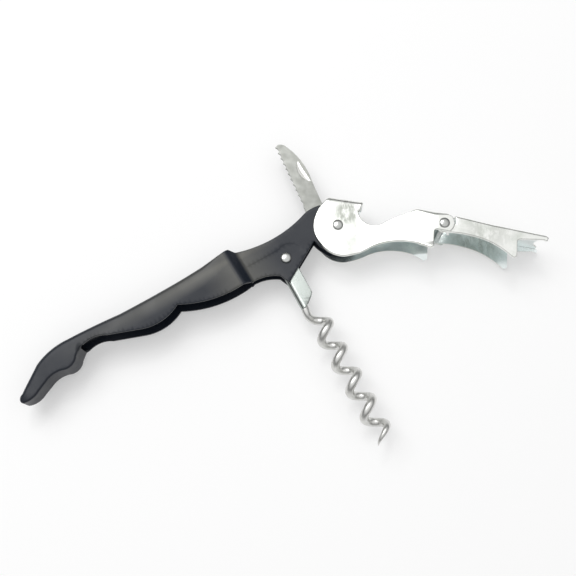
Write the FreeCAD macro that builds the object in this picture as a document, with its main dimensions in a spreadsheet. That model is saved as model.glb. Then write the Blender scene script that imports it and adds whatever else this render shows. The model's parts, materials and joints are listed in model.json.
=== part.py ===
import FreeCAD, Part
import math
import os
import Sketcher
from FreeCAD import Placement, Rotation, Vector

# Two-step waiter's corkscrew, lying on its side and opened out for use.
# Every hinge axis is vertical (+Z). Shapes are drawn in the plane of the tool, seen from above, in five
# frames: the handle's and the lever's with the lever pin at their origin, and the frames of the foot, the
# worm and the knife with their own pins at the origin. Heights count from the tool's mid-plane.

doc = FreeCAD.newDocument("waiters_corkscrew")

# ---------------------------------------------------------------- driving dimensions, in millimetres

DIMENSIONS = (
    ("sheet_metal", 0.8),            # steel sheet of the handle, the arm and the foot
    ("neck_half_width", 2.5),        # outside of the handle's pinched neck and head
    ("grip_half_width", 4.6),        # outside of the grip
    ("tail_half_width", 3.6),        # outside of the grip near its tail
    ("tail_end_half_width", 2.9),
    ("disc_half_width", 3.6),        # outside of the arm at the lever pin
    ("nose_half_width", 6.55),       # outside of the arm at its step and around the foot's hinge
    ("foot_half_width", 5.55),       # outside of the foot at its hinge
    ("boot_half_width", 6.05),       # outside of the foot at its step
    ("tongue_half_width", 5.7),      # outside of the foot's tongue at its end
    ("shank_radius", 1.1),           # every rivet's shank
    ("rivet_head_radius", 1.6),
    ("rivet_head_height", 0.9),
    ("rivet_dome_radius", 0.6),
    ("bend_radius", 0.8),            # outside of the arm's bends
    ("hole_play", 0.04),             # radial play of a rivet in a hole
    ("burr_radius", 1.75),           # ring that each rivet is closed over on the underside
    ("burr_height", 0.45),
    ("sleeve_radius", 2.0),          # spacer tube on the lever pin, inside the head
    ("spacer_radius", 2.4),          # spacers beside the knife
    ("washer_radius", 3.0),          # washers between the head and the arm
    ("hinge_washer_radius", 2.2),    # washers between the foot and the arm's nose
    ("face_play", 0.02),             # play between faces that lie on each other
    ("wire_radius", 1.2),            # worm wire
    ("coil_radius", 2.45),           # the coil's centre line about its axis
    ("coil_pitch", 8.1),
    ("eye_radius", 2.3),             # flattened eye at the top of the wire
    ("eye_half_height", 0.85),
    ("wire_offset", 1.6),            # straight top of the wire, beside the worm pin
    ("clip_half_width", 1.6),        # folded clip around the wire
    ("clip_sheet", 0.38),
    ("blade_thickness", 1.0),
    ("nick_depth", 0.3),             # nail nick in the blade
    ("handle_angle", 31.1),          # directions at rest, in degrees from +X
    ("worm_angle", -62.2),
    ("knife_angle", 114.0),
    ("lever_pin_x", 14.49),          # lever pin in the frame of the whole tool
    ("lever_pin_y", 18.62),
    ("mid_plane_z", 7.02),
    ("worm_pin_dx", -15.75),         # the other pins, from the lever pin
    ("worm_pin_dy", -10.18),
    ("knife_pin_dx", -5.2),
    ("knife_pin_dy", 1.6),
    ("foot_pin_dx", 31.82),
    ("foot_pin_dy", -0.46),
)

sheet = doc.addObject("Spreadsheet::Sheet", "Dimensions")
for row, (alias, value) in enumerate(DIMENSIONS, start=1):
    sheet.set("A%d" % row, alias)
    sheet.set("B%d" % row, str(value))
    sheet.setAlias("B%d" % row, alias)
doc.recompute()


def size(alias):
    return float(sheet.get(alias))


class Total:
    """A sum of cells and plain numbers: its value now, and the formula that keeps it current.

    A cell's alias is taken away from the sum when it is written with a minus sign.
    """

    def __init__(self, *terms):
        self.value = 0.0
        pieces = []
        for term in terms:
            if isinstance(term, str):
                sign = -1.0 if term.startswith("-") else 1.0
                name = term.lstrip("-")
                self.value += sign * size(name)
                pieces.append("%s Dimensions.%s" % ("-" if sign < 0 else "+", name))
            else:
                self.value += term
                pieces.append("%s %s" % ("-" if term < 0 else "+", abs(term)))
        self.formula = "0 " + " ".join(pieces)

    def negated(self):
        opposite = Total(-self.value)
        opposite.formula = "0 - (%s)" % self.formula
        return opposite


# ---------------------------------------------------------------- drawing helpers

REACH = 100.0         # half-length of a cut that goes right through a piece
SPAN = 10.0           # half-width of the blanks before they are cut to their tapered width
BEYOND = 16.0         # a hollow's open sides lie this far out, past the metal


def new_body(name):
    body = doc.addObject("PartDesign::Body", name)
    body.Label = name
    return body


def new_sketch(body, name, role):
    sketch = body.newObject("Sketcher::SketchObject", name)
    planes = [plane for plane in body.Origin.OriginFeatures if plane.Role == role]
    sketch.AttachmentSupport = [(planes[0], "")]
    sketch.MapMode = "FlatFace"
    return sketch


def draw(sketch, start, steps):
    """Closed outline: a step of two numbers is a line's end, one of four is an arc's middle and end."""
    here = Vector(start[0], start[1], 0)
    for step in steps:
        end = Vector(step[-2], step[-1], 0)
        if len(step) == 2:
            sketch.addGeometry(Part.LineSegment(here, end), False)
        else:
            sketch.addGeometry(Part.Arc(here, Vector(step[0], step[1], 0), end), False)
        here = end


def hold(sketch, kind, edge, point, length):
    """Keep a point's distance from the sketch's axis at the length given by the sheet."""
    if length.value >= 0:
        index = sketch.addConstraint(Sketcher.Constraint(kind, -1, 1, edge, point, length.value))
        sketch.setExpression("Constraints[%d]" % index, length.formula)
    else:
        index = sketch.addConstraint(Sketcher.Constraint(kind, edge, point, -1, 1, -length.value))
        sketch.setExpression("Constraints[%d]" % index, length.negated().formula)


def bound_polygon(sketch, corners):
    """Closed polygon whose corners are pairs of Totals."""
    points = [Vector(x.value, y.value, 0) for x, y in corners]
    first = sketch.GeometryCount
    count = len(points)
    for number in range(count):
        sketch.addGeometry(Part.LineSegment(points[number], points[(number + 1) % count]), False)
    for number in range(count):
        following = first + (number + 1) % count
        sketch.addConstraint(Sketcher.Constraint("Coincident", first + number, 2, following, 1))
    for number, (x, y) in enumerate(corners):
        hold(sketch, "DistanceX", first + number, 1, x)
        hold(sketch, "DistanceY", first + number, 1, y)


def draw_circle(sketch, x, y, radius):
    edge = sketch.addGeometry(Part.Circle(Vector(x, y, 0), Vector(0, 0, 1), radius.value), False)
    hold(sketch, "DistanceX", edge, 3, Total(x))
    hold(sketch, "DistanceY", edge, 3, Total(y))
    index = sketch.addConstraint(Sketcher.Constraint("Radius", edge, radius.value))
    sketch.setExpression("Constraints[%d]" % index, radius.formula)


def two_sided(body, kind, name, sketch, length):
    """Pad or pocket, half of its length on each side of the sketch."""
    feature = body.newObject(kind, name)
    feature.Profile = sketch
    feature.SideType = "Symmetric"
    feature.Length = length
    return feature


def pad(body, name, sketch, length):
    return two_sided(body, "PartDesign::Pad", name, sketch, length)


def pocket(body, name, sketch, length):
    return two_sided(body, "PartDesign::Pocket", name, sketch, length)


def revolve(body, name, sketch):
    feature = body.newObject("PartDesign::Revolution", name)
    feature.Profile = sketch
    feature.ReferenceAxis = (sketch, ["V_Axis"])
    feature.Angle = 360.0


def trim_to_width(body, name, stations, less=None):
    """Cut a blank down to a half-width that changes along it: x and cell of each station, less one cell."""
    sketch = new_sketch(body, name + "_width", "XZ_Plane")
    for side in (1, -1):
        corners = []
        for x, alias in stations:
            half = Total(alias, "-" + less) if less else Total(alias)
            corners.append((Total(x), half if side > 0 else half.negated()))
        far = Total(side * (SPAN + 2.0))
        corners.append((Total(stations[-1][0]), far))
        corners.append((Total(stations[0][0]), far))
        bound_polygon(sketch, corners)
    pocket(body, name + "_trim", sketch, 2 * REACH)


def prism(name, start, steps):
    """A blank of the given side outline, wider than it will be."""
    body = new_body(name)
    sketch = new_sketch(body, name + "_outline", "XY_Plane")
    draw(sketch, start, steps)
    pad(body, name + "_blank", sketch, 2 * SPAN)
    return body


def drill(body, name, holes):
    """Round holes right through: x, y and the cells that add up to the radius."""
    sketch = new_sketch(body, name + "_holes", "XY_Plane")
    for x, y, radius in holes:
        draw_circle(sketch, x, y, radius)
    pocket(body, name + "_drilling", sketch, 2 * REACH)


def round_edges(body, name, is_wanted, alias):
    """Round the edges of the body's last feature whose middles pass a test, to the radius in a cell."""
    doc.recompute()
    base = body.Tip
    picked = []
    for number, edge in enumerate(base.Shape.Edges, start=1):
        if is_wanted(edge.valueAt((edge.FirstParameter + edge.LastParameter) / 2)):
            picked.append("Edge%d" % number)
    rounded = body.newObject("PartDesign::Fillet", name)
    rounded.Base = (base, picked)
    rounded.setExpression("Radius", "Dimensions.%s" % alias)


def hollowed(name, outer, inner):
    """A node: the outer blank less the hollow."""
    node = doc.addObject("Part::Cut", name)
    node.Base = outer
    node.Tool = inner
    node.Label = name
    outer.Label = name + "_blank"
    return node


NODES = []


def place(node, x, y, z, angle=None):
    """Set a finished piece in the frame of the whole tool, bound to the sheet."""
    turn = Rotation(Vector(0, 0, 1), size(angle)) if angle else Rotation()
    node.Placement = Placement(Vector(x.value, y.value, z.value), turn)
    node.setExpression("Placement.Base.x", x.formula)
    node.setExpression("Placement.Base.y", y.formula)
    node.setExpression("Placement.Base.z", z.formula)
    if angle:
        node.setExpression("Placement.Rotation.Angle", "Dimensions.%s" % angle)
    NODES.append(node)


LEVER_PIN = (Total("lever_pin_x"), Total("lever_pin_y"))
WORM_PIN = (Total("lever_pin_x", "worm_pin_dx"), Total("lever_pin_y", "worm_pin_dy"))
KNIFE_PIN = (Total("lever_pin_x", "knife_pin_dx"), Total("lever_pin_y", "knife_pin_dy"))
FOOT_PIN = (Total("lever_pin_x", "foot_pin_dx"), Total("lever_pin_y", "foot_pin_dy"))
MIDDLE = Total("mid_plane_z")


def in_handle(dx, dy):
    """An offset from the lever pin, turned into the handle's frame."""
    offset = Vector(size(dx), size(dy), 0)
    turned = Rotation(Vector(0, 0, 1), -size("handle_angle")).multVec(offset)
    return round(turned.x, 3), round(turned.y, 3)


PIN_HOLE = Total("shank_radius", "hole_play")

# ---------------------------------------------------------------- handle: grip, neck and head of one sheet

NECK_X = -31.0        # end of the neck, towards the tail
SHOULDER_X = -33.5    # full width of the grip is reached here
BELLY_END_X = -84.0   # the belly is open up to here; the tail is folded shut beyond
HEAD_RIM = 7.2        # the head's rim, which the arm's lip passes over


def on_rim(angle):
    return (HEAD_RIM * math.cos(math.radians(angle)), HEAD_RIM * math.sin(math.radians(angle)))


def make_handle():
    outline = [
        (-102.4, 0.6, -100.0, 1.4),
        (-97.3, 2.7),
        (-94.6, 3.6, -91.6, 3.3),
        (-88.7, 3.2, -86.4, 4.9),
        (-81.3, 7.0, -75.8, 5.9),
        (-64.9, 2.8),
        (-64.4, 1.9),
        (-59.5, 1.2, -53.8, 3.0),
        (-43.5, -0.9, -34.0, -1.6),
        (-31.0, -1.8),
        (-26.7, -2.5, -23.1, -4.4),
        (-21.9, -7.6),
        (-8.6, -0.3),
        (-7.7, -3.3, -6.2, -6.2),
        on_rim(-131.0),
        on_rim(-27.0) + on_rim(77.5),
        (-0.9, 8.7),
        (-3.6, 9.1, -6.6, 8.8),
        (-17.6, 6.8, -31.1, 8.8),
        (-32.7, 10.1),
        (-42.3, 9.5, -51.7, 9.2),
        (-60.6, 9.3, -69.8, 9.4),
        (-78.3, 10.05, -86.5, 10.4),
        (-93.0, 10.0, -97.1, 8.5),
        (-104.5, 3.1),
        (-106.1, 1.7, -105.4, 0.7),
    ]
    width = ((-112.0, "tail_end_half_width"), (-106.5, "tail_end_half_width"), (-104.0, "tail_half_width"),
             (-84.0, "grip_half_width"), (SHOULDER_X, "grip_half_width"), (NECK_X, "neck_half_width"),
             (12.0, "neck_half_width"))
    blank = prism("handle_blank", (-105.4, 0.7), outline)
    trim_to_width(blank, "handle", width)
    worm_x, worm_y = in_handle("worm_pin_dx", "worm_pin_dy")
    knife_x, knife_y = in_handle("knife_pin_dx", "knife_pin_dy")
    drill(blank, "handle", ((0.0, 0.0, PIN_HOLE), (worm_x, worm_y, PIN_HOLE), (knife_x, knife_y, PIN_HOLE)))

    metal = size("sheet_metal")
    room = [
        (14.0, -BEYOND),
        (14.0, BEYOND),
        (-32.9, BEYOND),
        (-32.9, 10.1 - metal),
        (-42.3, 9.5 - metal, -51.7, 9.2 - metal),
        (-60.6, 9.3 - metal, -69.8, 9.4 - metal),
        (-78.3, 10.05 - metal, -86.5, 10.4 - metal),
        (-92.6, 10.0 - metal, -96.7, 8.5 - metal),
        (-103.6, 2.9),
        (-102.4, 0.7 + metal, -100.3, 1.5 + metal),
        (-97.6, 2.7 + metal),
        (-94.6, 3.6 + metal, -91.4, 3.3 + metal),
        (-88.9, 3.2 + metal, -86.9, 4.9 + metal),
        (BELLY_END_X, 6.5 + metal),
    ]
    mouth = (BELLY_END_X, -BEYOND)
    hollow = prism("handle_room", mouth, room + [mouth])
    trim_to_width(hollow, "handle_room", width, "sheet_metal")
    node = hollowed("handle_shell", blank, hollow)
    place(node, LEVER_PIN[0], LEVER_PIN[1], MIDDLE, "handle_angle")


# ---------------------------------------------------------------- arm of the lever

LIP_START = (-2.24, 8.75)     # cap-lifter lip, along the outside of its bend
LIP_END = (7.96, 7.14)
BRIDGE_START = (23.81, 4.39)  # the arm's second bend, next to the foot's hinge
BRIDGE_END = (32.6, 2.93)


def inward(start, end, depth):
    """Both ends of a line moved to its right, into the metal."""
    along = Vector(end[0] - start[0], end[1] - start[1], 0)
    along.normalize()
    return ((start[0] + along.y * depth, start[1] - along.x * depth),
            (end[0] + along.y * depth, end[1] - along.x * depth))


def is_on_bend(point, start, end):
    """True for a point of a side face's edge along a bend's outside, which runs from start to end."""
    along = Vector(end[0] - start[0], end[1] - start[1], 0)
    away = Vector(point.x - start[0], point.y - start[1], 0)
    reach = away.dot(along) / along.Length
    on_line = abs(away.cross(along).z) / along.Length < 0.01
    return on_line and 0 < reach < along.Length and abs(point.z) > 3.0


def make_arm():
    outline = [
        (-5.3, 6.2, -7.23, 1.65),
        (-7.15, -2.4, -5.04, -6.2),
        (-2.4, -8.7, 1.8, -9.9),
        (5.9, -9.0, 9.6, -7.3),
        (15.7, -5.7, 21.8, -6.05),
        (24.9, -6.95, 27.24, -8.1),
        (28.3, -7.6),
        (28.7, -2.8),
        (29.2, -2.3),
        (33.2, -3.15),
        (34.95, -0.9, 34.4, 1.7),
        BRIDGE_END,
        BRIDGE_START,
        (18.8, 2.62),
        (14.4, 0.75),
        (9.7, -0.05, 6.8, 2.6),
        (6.3, 4.25),
        (6.9, 4.8),
        LIP_END,
        LIP_START,
    ]
    width = ((-14.0, "disc_half_width"), (6.0, "disc_half_width"), (30.0, "nose_half_width"),
             (42.0, "nose_half_width"))
    blank = prism("arm_blank", LIP_START, outline)
    trim_to_width(blank, "arm", width)
    round_edges(blank, "arm_lip_bend", lambda point: is_on_bend(point, LIP_START, LIP_END), "bend_radius")
    round_edges(blank, "arm_bridge_bend", lambda point: is_on_bend(point, BRIDGE_START, BRIDGE_END),
                "bend_radius")
    foot_x, foot_y = size("foot_pin_dx"), size("foot_pin_dy")
    drill(blank, "arm", ((0.0, 0.0, PIN_HOLE), (foot_x, foot_y, PIN_HOLE)))

    metal = size("sheet_metal")
    lip_start, lip_end = inward(LIP_START, LIP_END, metal)
    bridge_start, bridge_end = inward(BRIDGE_START, BRIDGE_END, metal)
    room = [
        (42.0, -BEYOND),
        (42.0, BEYOND),
        (bridge_end[0], BEYOND),
        bridge_end,
        bridge_start,
        (bridge_start[0], BEYOND),
        (lip_end[0], BEYOND),
        lip_end,
        lip_start,
        (lip_start[0], BEYOND),
        (-14.0, BEYOND),
        (-14.0, -BEYOND),
    ]
    hollow = prism("arm_room", (-14.0, -BEYOND), room)
    trim_to_width(hollow, "arm_room", width, "sheet_metal")
    node = hollowed("lever_arm", blank, hollow)
    place(node, LEVER_PIN[0], LEVER_PIN[1], MIDDLE)


# ---------------------------------------------------------------- foot of the lever

FOOT_WEB = ((3.6, 2.9), (8.0, 1.7), (14.8, -0.2), (22.1, -1.85), (30.6, -3.6))


def make_foot():
    outline = [
        (-1.77, -1.77, -2.5, 0.0),
        (-1.0, 2.29, 2.49, 0.15),
        (3.75, 0.2),
        *FOOT_WEB,
        (31.2, -4.6),
        (30.7, -5.6),
        (29.5, -5.1),
        (22.2, -5.0),
        (21.65, -5.5),
        (21.25, -9.8),
        (20.6, -10.7, 19.6, -10.4),
        (14.2, -6.1, 7.6, -3.5),
        (3.9, -2.75, 0.0, -2.5),
    ]
    width = ((-8.0, "foot_half_width"), (3.6, "foot_half_width"), (20.0, "boot_half_width"),
             (22.0, "boot_half_width"), (34.0, "tongue_half_width"))
    blank = prism("foot_blank", (0.0, -2.5), outline)
    trim_to_width(blank, "foot", width)
    drill(blank, "foot", ((0.0, 0.0, PIN_HOLE),))
    # the tongue ends in a round notch, like a swallow's tail
    notch = new_sketch(blank, "foot_notch", "XZ_Plane")
    draw(notch, (36.0, 3.9), [(30.9, 3.9), (28.6, 0.0, 30.9, -3.9), (36.0, -3.9), (36.0, 3.9)])
    pocket(blank, "foot_notching", notch, 2 * REACH)

    metal = size("sheet_metal")
    tip_y = FOOT_WEB[-1][1]
    back_x = FOOT_WEB[0][0] - 0.4
    room = [(36.0, -BEYOND), (36.0, tip_y - metal - 1.3)]
    room += [(x, y - metal) for x, y in reversed(FOOT_WEB)]
    room += [(back_x, FOOT_WEB[0][1] - metal), (back_x, BEYOND), (-8.0, BEYOND), (-8.0, -BEYOND)]
    hollow = prism("foot_room", (-8.0, -BEYOND), room)
    trim_to_width(hollow, "foot_room", width, "sheet_metal")
    node = hollowed("lever_foot", blank, hollow)
    place(node, FOOT_PIN[0], FOOT_PIN[1], MIDDLE)


# ---------------------------------------------------------------- rivets, burrs, sleeves and washers

def make_rivet(name, seat, pin):
    """Shank with a domed head; the head's seat is a cell counted from the mid-plane."""
    body = new_body(name)
    sketch = new_sketch(body, name + "_profile", "XZ_Plane")
    low = Total("-" + seat, "-face_play", "-burr_height")
    under_head = Total(seat, "face_play")
    top = Total(seat, "face_play", "rivet_head_height")
    bound_polygon(sketch, [
        (Total(0.0), low),
        (Total("shank_radius"), low),
        (Total("shank_radius"), under_head),
        (Total("rivet_head_radius"), under_head),
        (Total("rivet_head_radius"), top),
        (Total(0.0), top),
    ])
    revolve(body, name + "_turned", sketch)

    def is_rim(point):
        return abs(point.z - top.value) < 1e-6 and math.hypot(point.x, point.y) > size("shank_radius")

    round_edges(body, name + "_dome", is_rim, "rivet_dome_radius")
    place(body, pin[0], pin[1], MIDDLE)


def make_ring(name, outer, inner, height, centre_z, pin):
    """Flat ring around a pin: radii and height are Totals, centre_z its middle above the mid-plane."""
    body = new_body(name)
    sketch = new_sketch(body, name + "_profile", "XY_Plane")
    draw_circle(sketch, 0.0, 0.0, outer)
    if inner:
        draw_circle(sketch, 0.0, 0.0, inner)
    feature = pad(body, name + "_ring", sketch, height.value)
    feature.setExpression("Length", height.formula)
    place(body, pin[0], pin[1], centre_z)


def make_burr(name, seat, pin):
    half = size("burr_height") / 2
    make_ring(name, Total("burr_radius"), Total("shank_radius", "face_play"), Total("burr_height"),
              Total("mid_plane_z", "-" + seat, "-face_play", -half), pin)


def make_hardware():
    make_rivet("worm_pin", "neck_half_width", WORM_PIN)
    make_burr("worm_burr", "neck_half_width", WORM_PIN)
    make_rivet("lever_pin", "disc_half_width", LEVER_PIN)
    make_burr("lever_burr", "disc_half_width", LEVER_PIN)
    make_rivet("foot_pin", "nose_half_width", FOOT_PIN)
    make_burr("foot_burr", "nose_half_width", FOOT_PIN)

    bore = Total("shank_radius", "hole_play")
    neck_inside = size("neck_half_width") - size("sheet_metal")
    play = size("face_play")

    make_ring("knife_pin", Total("shank_radius"), None,
              Total("neck_half_width", "neck_half_width", "-face_play"), MIDDLE, KNIFE_PIN)

    half_blade = size("blade_thickness") / 2
    middle = (half_blade + neck_inside) / 2
    tall = Total("neck_half_width", "-sheet_metal", -half_blade, "-face_play", "-face_play")
    make_ring("knife_spacer_front", Total("spacer_radius"), bore, tall,
              Total("mid_plane_z", middle), KNIFE_PIN)
    make_ring("knife_spacer_back", Total("spacer_radius"), bore, tall,
              Total("mid_plane_z", -middle), KNIFE_PIN)

    make_ring("lever_sleeve", Total("sleeve_radius"), bore,
              Total(2 * neck_inside, "-face_play", "-face_play"), MIDDLE, LEVER_PIN)

    arm_gap = size("disc_half_width") - size("sheet_metal") - size("neck_half_width")
    middle = size("neck_half_width") + arm_gap / 2
    flat = Total("disc_half_width", "-sheet_metal", "-neck_half_width", -2 * play)
    make_ring("lever_washer_front", Total("washer_radius"), bore, flat,
              Total("mid_plane_z", middle), LEVER_PIN)
    make_ring("lever_washer_back", Total("washer_radius"), bore, flat,
              Total("mid_plane_z", -middle), LEVER_PIN)

    hinge_gap = size("nose_half_width") - size("sheet_metal") - size("foot_half_width")
    middle = size("foot_half_width") + hinge_gap / 2
    flat = Total("nose_half_width", "-sheet_metal", "-foot_half_width", -2 * play)
    make_ring("foot_washer_front", Total("hinge_washer_radius"), bore, flat,
              Total("mid_plane_z", middle), FOOT_PIN)
    make_ring("foot_washer_back", Total("hinge_washer_radius"), bore, flat,
              Total("mid_plane_z", -middle), FOOT_PIN)


# ---------------------------------------------------------------- knife

FIRST_TOOTH_X = 7.6
TEETH = 11
TOOTH_PITCH = 1.95
TOOTH_DEPTH = 0.45
EDGE_Y = 2.3          # points of the serrated edge


def make_knife():
    outline = [
        (6.3, -3.35),
        (14.1, -3.6),
        (20.0, -3.6, 25.6, -2.2),
        (28.9, -0.5),
        (29.7, 0.7, 29.05, EDGE_Y),
    ]
    for tooth in range(TEETH):
        start_x = FIRST_TOOTH_X + (TEETH - tooth) * TOOTH_PITCH
        outline.append((start_x - TOOTH_PITCH / 2, EDGE_Y - TOOTH_DEPTH, start_x - TOOTH_PITCH, EDGE_Y))
    outline.append((0.0, 2.6))
    outline.append((-2.6, 0.0, 0.0, -2.6))

    body = new_body("knife_blade")
    sketch = new_sketch(body, "knife_outline", "XY_Plane")
    draw(sketch, (0.0, -2.6), outline)
    blade = pad(body, "knife_blank", sketch, size("blade_thickness"))
    blade.setExpression("Length", "Dimensions.blade_thickness")
    drill(body, "knife", ((0.0, 0.0, PIN_HOLE),))

    nick = new_sketch(body, "knife_nick", "XY_Plane")
    draw(nick, (24.0, -1.2), [(13.9, -2.9), (19.4, -0.4, 24.0, -1.2)])
    nick.AttachmentOffset = Placement(Vector(0, 0, size("blade_thickness") / 2), Rotation())
    cut = pocket(body, "knife_nick_cut", nick, 2 * size("nick_depth"))
    cut.setExpression("Length", "2 * Dimensions.nick_depth")
    place(body, KNIFE_PIN[0], KNIFE_PIN[1], MIDDLE, "knife_angle")


# ---------------------------------------------------------------- worm and its clip

STRAIGHT_END = 17.3   # the wire leaves its straight top here, measured from the worm pin
COIL_BEGIN = 21.5     # and here it runs in the coil
FIRST_RIGHT = 24.8    # first place where the coil is furthest to its right
TAPER_BEGIN = 58.0
COIL_END = 61.3
TIP_RADIUS = 0.2
WIRE_TOP_X = 0.6      # the straight top begins inside the eye
LEAD_BOW = Vector(0.35, -0.5, 0.3)  # how far the lead into the coil bows off a straight line


def coil_angle(along):
    return 2 * math.pi * (along - FIRST_RIGHT) / size("coil_pitch")


def on_coil(along):
    """Point of the coil's centre line and the direction of the wire there."""
    radius = size("coil_radius")
    angle = coil_angle(along)
    turn = 2 * math.pi / size("coil_pitch")
    point = Vector(along, radius * math.cos(angle), radius * math.sin(angle))
    heading = Vector(1, -radius * turn * math.sin(angle), radius * turn * math.cos(angle))
    heading.normalize()
    return point, heading


def coil_path(begin, end):
    """The stretch of the coil's centre line between two distances from the worm pin."""
    pitch = size("coil_pitch")
    helix = Part.makeHelix(pitch, end - begin, size("coil_radius"))
    # the helix climbs +Z from the X axis; lay it along +X with its start turned to the coil's angle
    turned = Rotation(Vector(0, 0, 1), math.degrees(coil_angle(begin)))
    laid = Rotation(Vector(1, 1, 1), 120.0)
    helix.Placement = Placement(Vector(begin, 0, 0), laid.multiply(turned))
    return helix


def wire_section(point, heading, radius):
    return Part.Wire([Part.makeCircle(radius, point, heading)])


def sweep(path, sections):
    shell = Part.BRepOffsetAPI.MakePipeShell(path)
    shell.setFrenetMode(True)
    for section in sections:
        shell.add(section)
    shell.build()
    shell.makeSolid()
    return shell.shape()


def make_worm():
    radius = size("wire_radius")
    offset = size("wire_offset")
    coil = sweep(coil_path(COIL_BEGIN, TAPER_BEGIN), [wire_section(*on_coil(COIL_BEGIN), radius)])
    tip = sweep(coil_path(TAPER_BEGIN, COIL_END),
                [wire_section(*on_coil(TAPER_BEGIN), radius), wire_section(*on_coil(COIL_END), TIP_RADIUS)])

    top = Vector(WIRE_TOP_X, -offset, 0)
    bend = Vector(STRAIGHT_END, -offset, 0)
    straight = Part.makeCylinder(radius, bend.x - top.x, top, Vector(1, 0, 0))
    joint, heading = on_coil(COIL_BEGIN)
    half_way = (bend + joint) / 2 + LEAD_BOW
    lead = Part.Wire([Part.Arc(bend, half_way, joint).toShape()])
    curve = lead.Edges[0].Curve
    first = curve.tangent(lead.Edges[0].FirstParameter)[0]
    lead_in = lead.makePipeShell([wire_section(bend, first, radius)], True, True)
    ball_bend = Part.makeSphere(radius, bend)
    ball_joint = Part.makeSphere(radius, joint)

    eye_height = size("eye_half_height")
    eye = Part.makeCylinder(size("eye_radius"), 2 * eye_height, Vector(0, 0, -eye_height))
    hole = Part.makeCylinder(PIN_HOLE.value, 2 * REACH, Vector(0, 0, -REACH))

    wire = eye.fuse([straight, ball_bend, lead_in, ball_joint, coil, tip]).cut(hole)
    node = doc.addObject("Part::Feature", "worm")
    node.Label = "worm"
    node.Shape = wire.Solids[0]
    place(node, WORM_PIN[0], WORM_PIN[1], MIDDLE, "worm_angle")


STRAP_LENGTH = 30.0   # stock that the clip's outline is cut from
STRAP_DEPTH = 8.0
STRAP_X = -8.0


def strap_stock(name, half):
    """A bar with one round side, the cell or formula half being its radius and half its height."""
    fold = doc.addObject("Part::Cylinder", name + "_fold")
    fold.setExpression("Radius", half.formula)
    fold.Height = STRAP_LENGTH
    fold.Placement = Placement(Vector(STRAP_X, -size("wire_offset"), 0), Rotation(Vector(0, 1, 0), 90))
    flat = doc.addObject("Part::Box", name + "_flat")
    flat.Length = STRAP_LENGTH
    flat.Width = STRAP_DEPTH
    flat.setExpression("Height", "2 * (%s)" % half.formula)
    flat.Placement = Placement(Vector(STRAP_X, -size("wire_offset"), -half.value), Rotation())
    return [fold, flat]


def make_clip():
    """A strap folded lengthwise around the straight top of the wire, with a slanting lower end."""
    body = new_body("worm_clip_blank")
    sketch = new_sketch(body, "clip_outline", "XY_Plane")
    left = -size("wire_offset") - size("clip_half_width")
    outline = [(14.8, left + 1.5), (13.3, 2.1), (0.0, 2.1), (-2.5, 0.0), (-1.6, left), (14.6, left)]
    draw(sketch, (14.6, left), outline)
    pad(body, "clip_blank", sketch, 2 * size("clip_half_width"))

    bent = doc.addObject("Part::MultiFuse", "clip_bent")
    bent.Shapes = strap_stock("clip", Total("clip_half_width"))
    strap = doc.addObject("Part::Common", "clip_strap")
    strap.Base = body
    strap.Tool = bent

    hole = doc.addObject("Part::Cylinder", "clip_hole")
    hole.setExpression("Radius", PIN_HOLE.formula)
    hole.Height = 2 * REACH
    hole.Placement = Placement(Vector(0, 0, -REACH), Rotation())
    room = doc.addObject("Part::MultiFuse", "clip_room")
    room.Shapes = strap_stock("clip_room", Total("clip_half_width", "-clip_sheet")) + [hole]
    node = hollowed("worm_clip", strap, room)
    place(node, WORM_PIN[0], WORM_PIN[1], MIDDLE, "worm_angle")


# ---------------------------------------------------------------- build, check and write

make_handle()
make_arm()
make_foot()
make_hardware()
make_knife()
make_worm()
make_clip()
doc.recompute()

for item in doc.Objects:
    if "Invalid" in item.State or "Error" in item.State:
        raise RuntimeError("%s is %s" % (item.Name, item.State))

os.makedirs("parts", exist_ok=True)
for node in NODES:
    shape = node.Shape
    if shape.isNull() or not shape.isValid() or len(shape.Solids) != 1:
        raise RuntimeError("%s: null, not valid or not one solid (%d)" % (node.Label, len(shape.Solids)))
    shape.exportStep(os.path.join("parts", node.Label + ".step"))
    box = shape.BoundBox
    print("%-20s %8.1f mm3  x %.2f..%.2f  y %.2f..%.2f  z %.2f..%.2f" % (
        node.Label, shape.Volume, box.XMin, box.XMax, box.YMin, box.YMax, box.ZMin, box.ZMax))
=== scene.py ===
import json
import math

import bmesh
import bpy
import numpy as np
from mathutils import Matrix, Vector
from mathutils.geometry import delaunay_2d_cdt


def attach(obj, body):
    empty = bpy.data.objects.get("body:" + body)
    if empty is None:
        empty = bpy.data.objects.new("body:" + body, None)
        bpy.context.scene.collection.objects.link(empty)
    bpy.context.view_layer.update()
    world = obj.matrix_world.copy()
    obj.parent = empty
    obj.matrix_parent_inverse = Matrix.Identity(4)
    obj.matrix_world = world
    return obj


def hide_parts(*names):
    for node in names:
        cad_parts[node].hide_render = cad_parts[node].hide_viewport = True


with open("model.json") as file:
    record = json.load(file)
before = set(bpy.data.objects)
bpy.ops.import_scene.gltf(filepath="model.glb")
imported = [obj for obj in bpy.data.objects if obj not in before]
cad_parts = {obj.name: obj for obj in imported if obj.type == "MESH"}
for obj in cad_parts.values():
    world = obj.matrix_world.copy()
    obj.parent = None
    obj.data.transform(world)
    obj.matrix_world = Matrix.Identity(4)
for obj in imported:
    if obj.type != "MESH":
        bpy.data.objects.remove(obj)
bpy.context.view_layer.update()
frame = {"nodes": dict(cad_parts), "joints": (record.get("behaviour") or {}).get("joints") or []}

MM = 0.001
FULL_TURN = 2 * math.pi

# ---------------------------------------------------------------- places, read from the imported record

JOINTS = {joint["name"]: joint for joint in frame["joints"]}


def pin_of(joint_name):
    """A hinge's point in millimetres."""
    return Vector(JOINTS[joint_name]["pos_m"]) / MM


LEVER_PIN = pin_of("lever_hinge")
FOOT_PIN = pin_of("foot_hinge")
WORM_PIN = pin_of("worm_hinge")
KNIFE_PIN = pin_of("knife_hinge")

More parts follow.
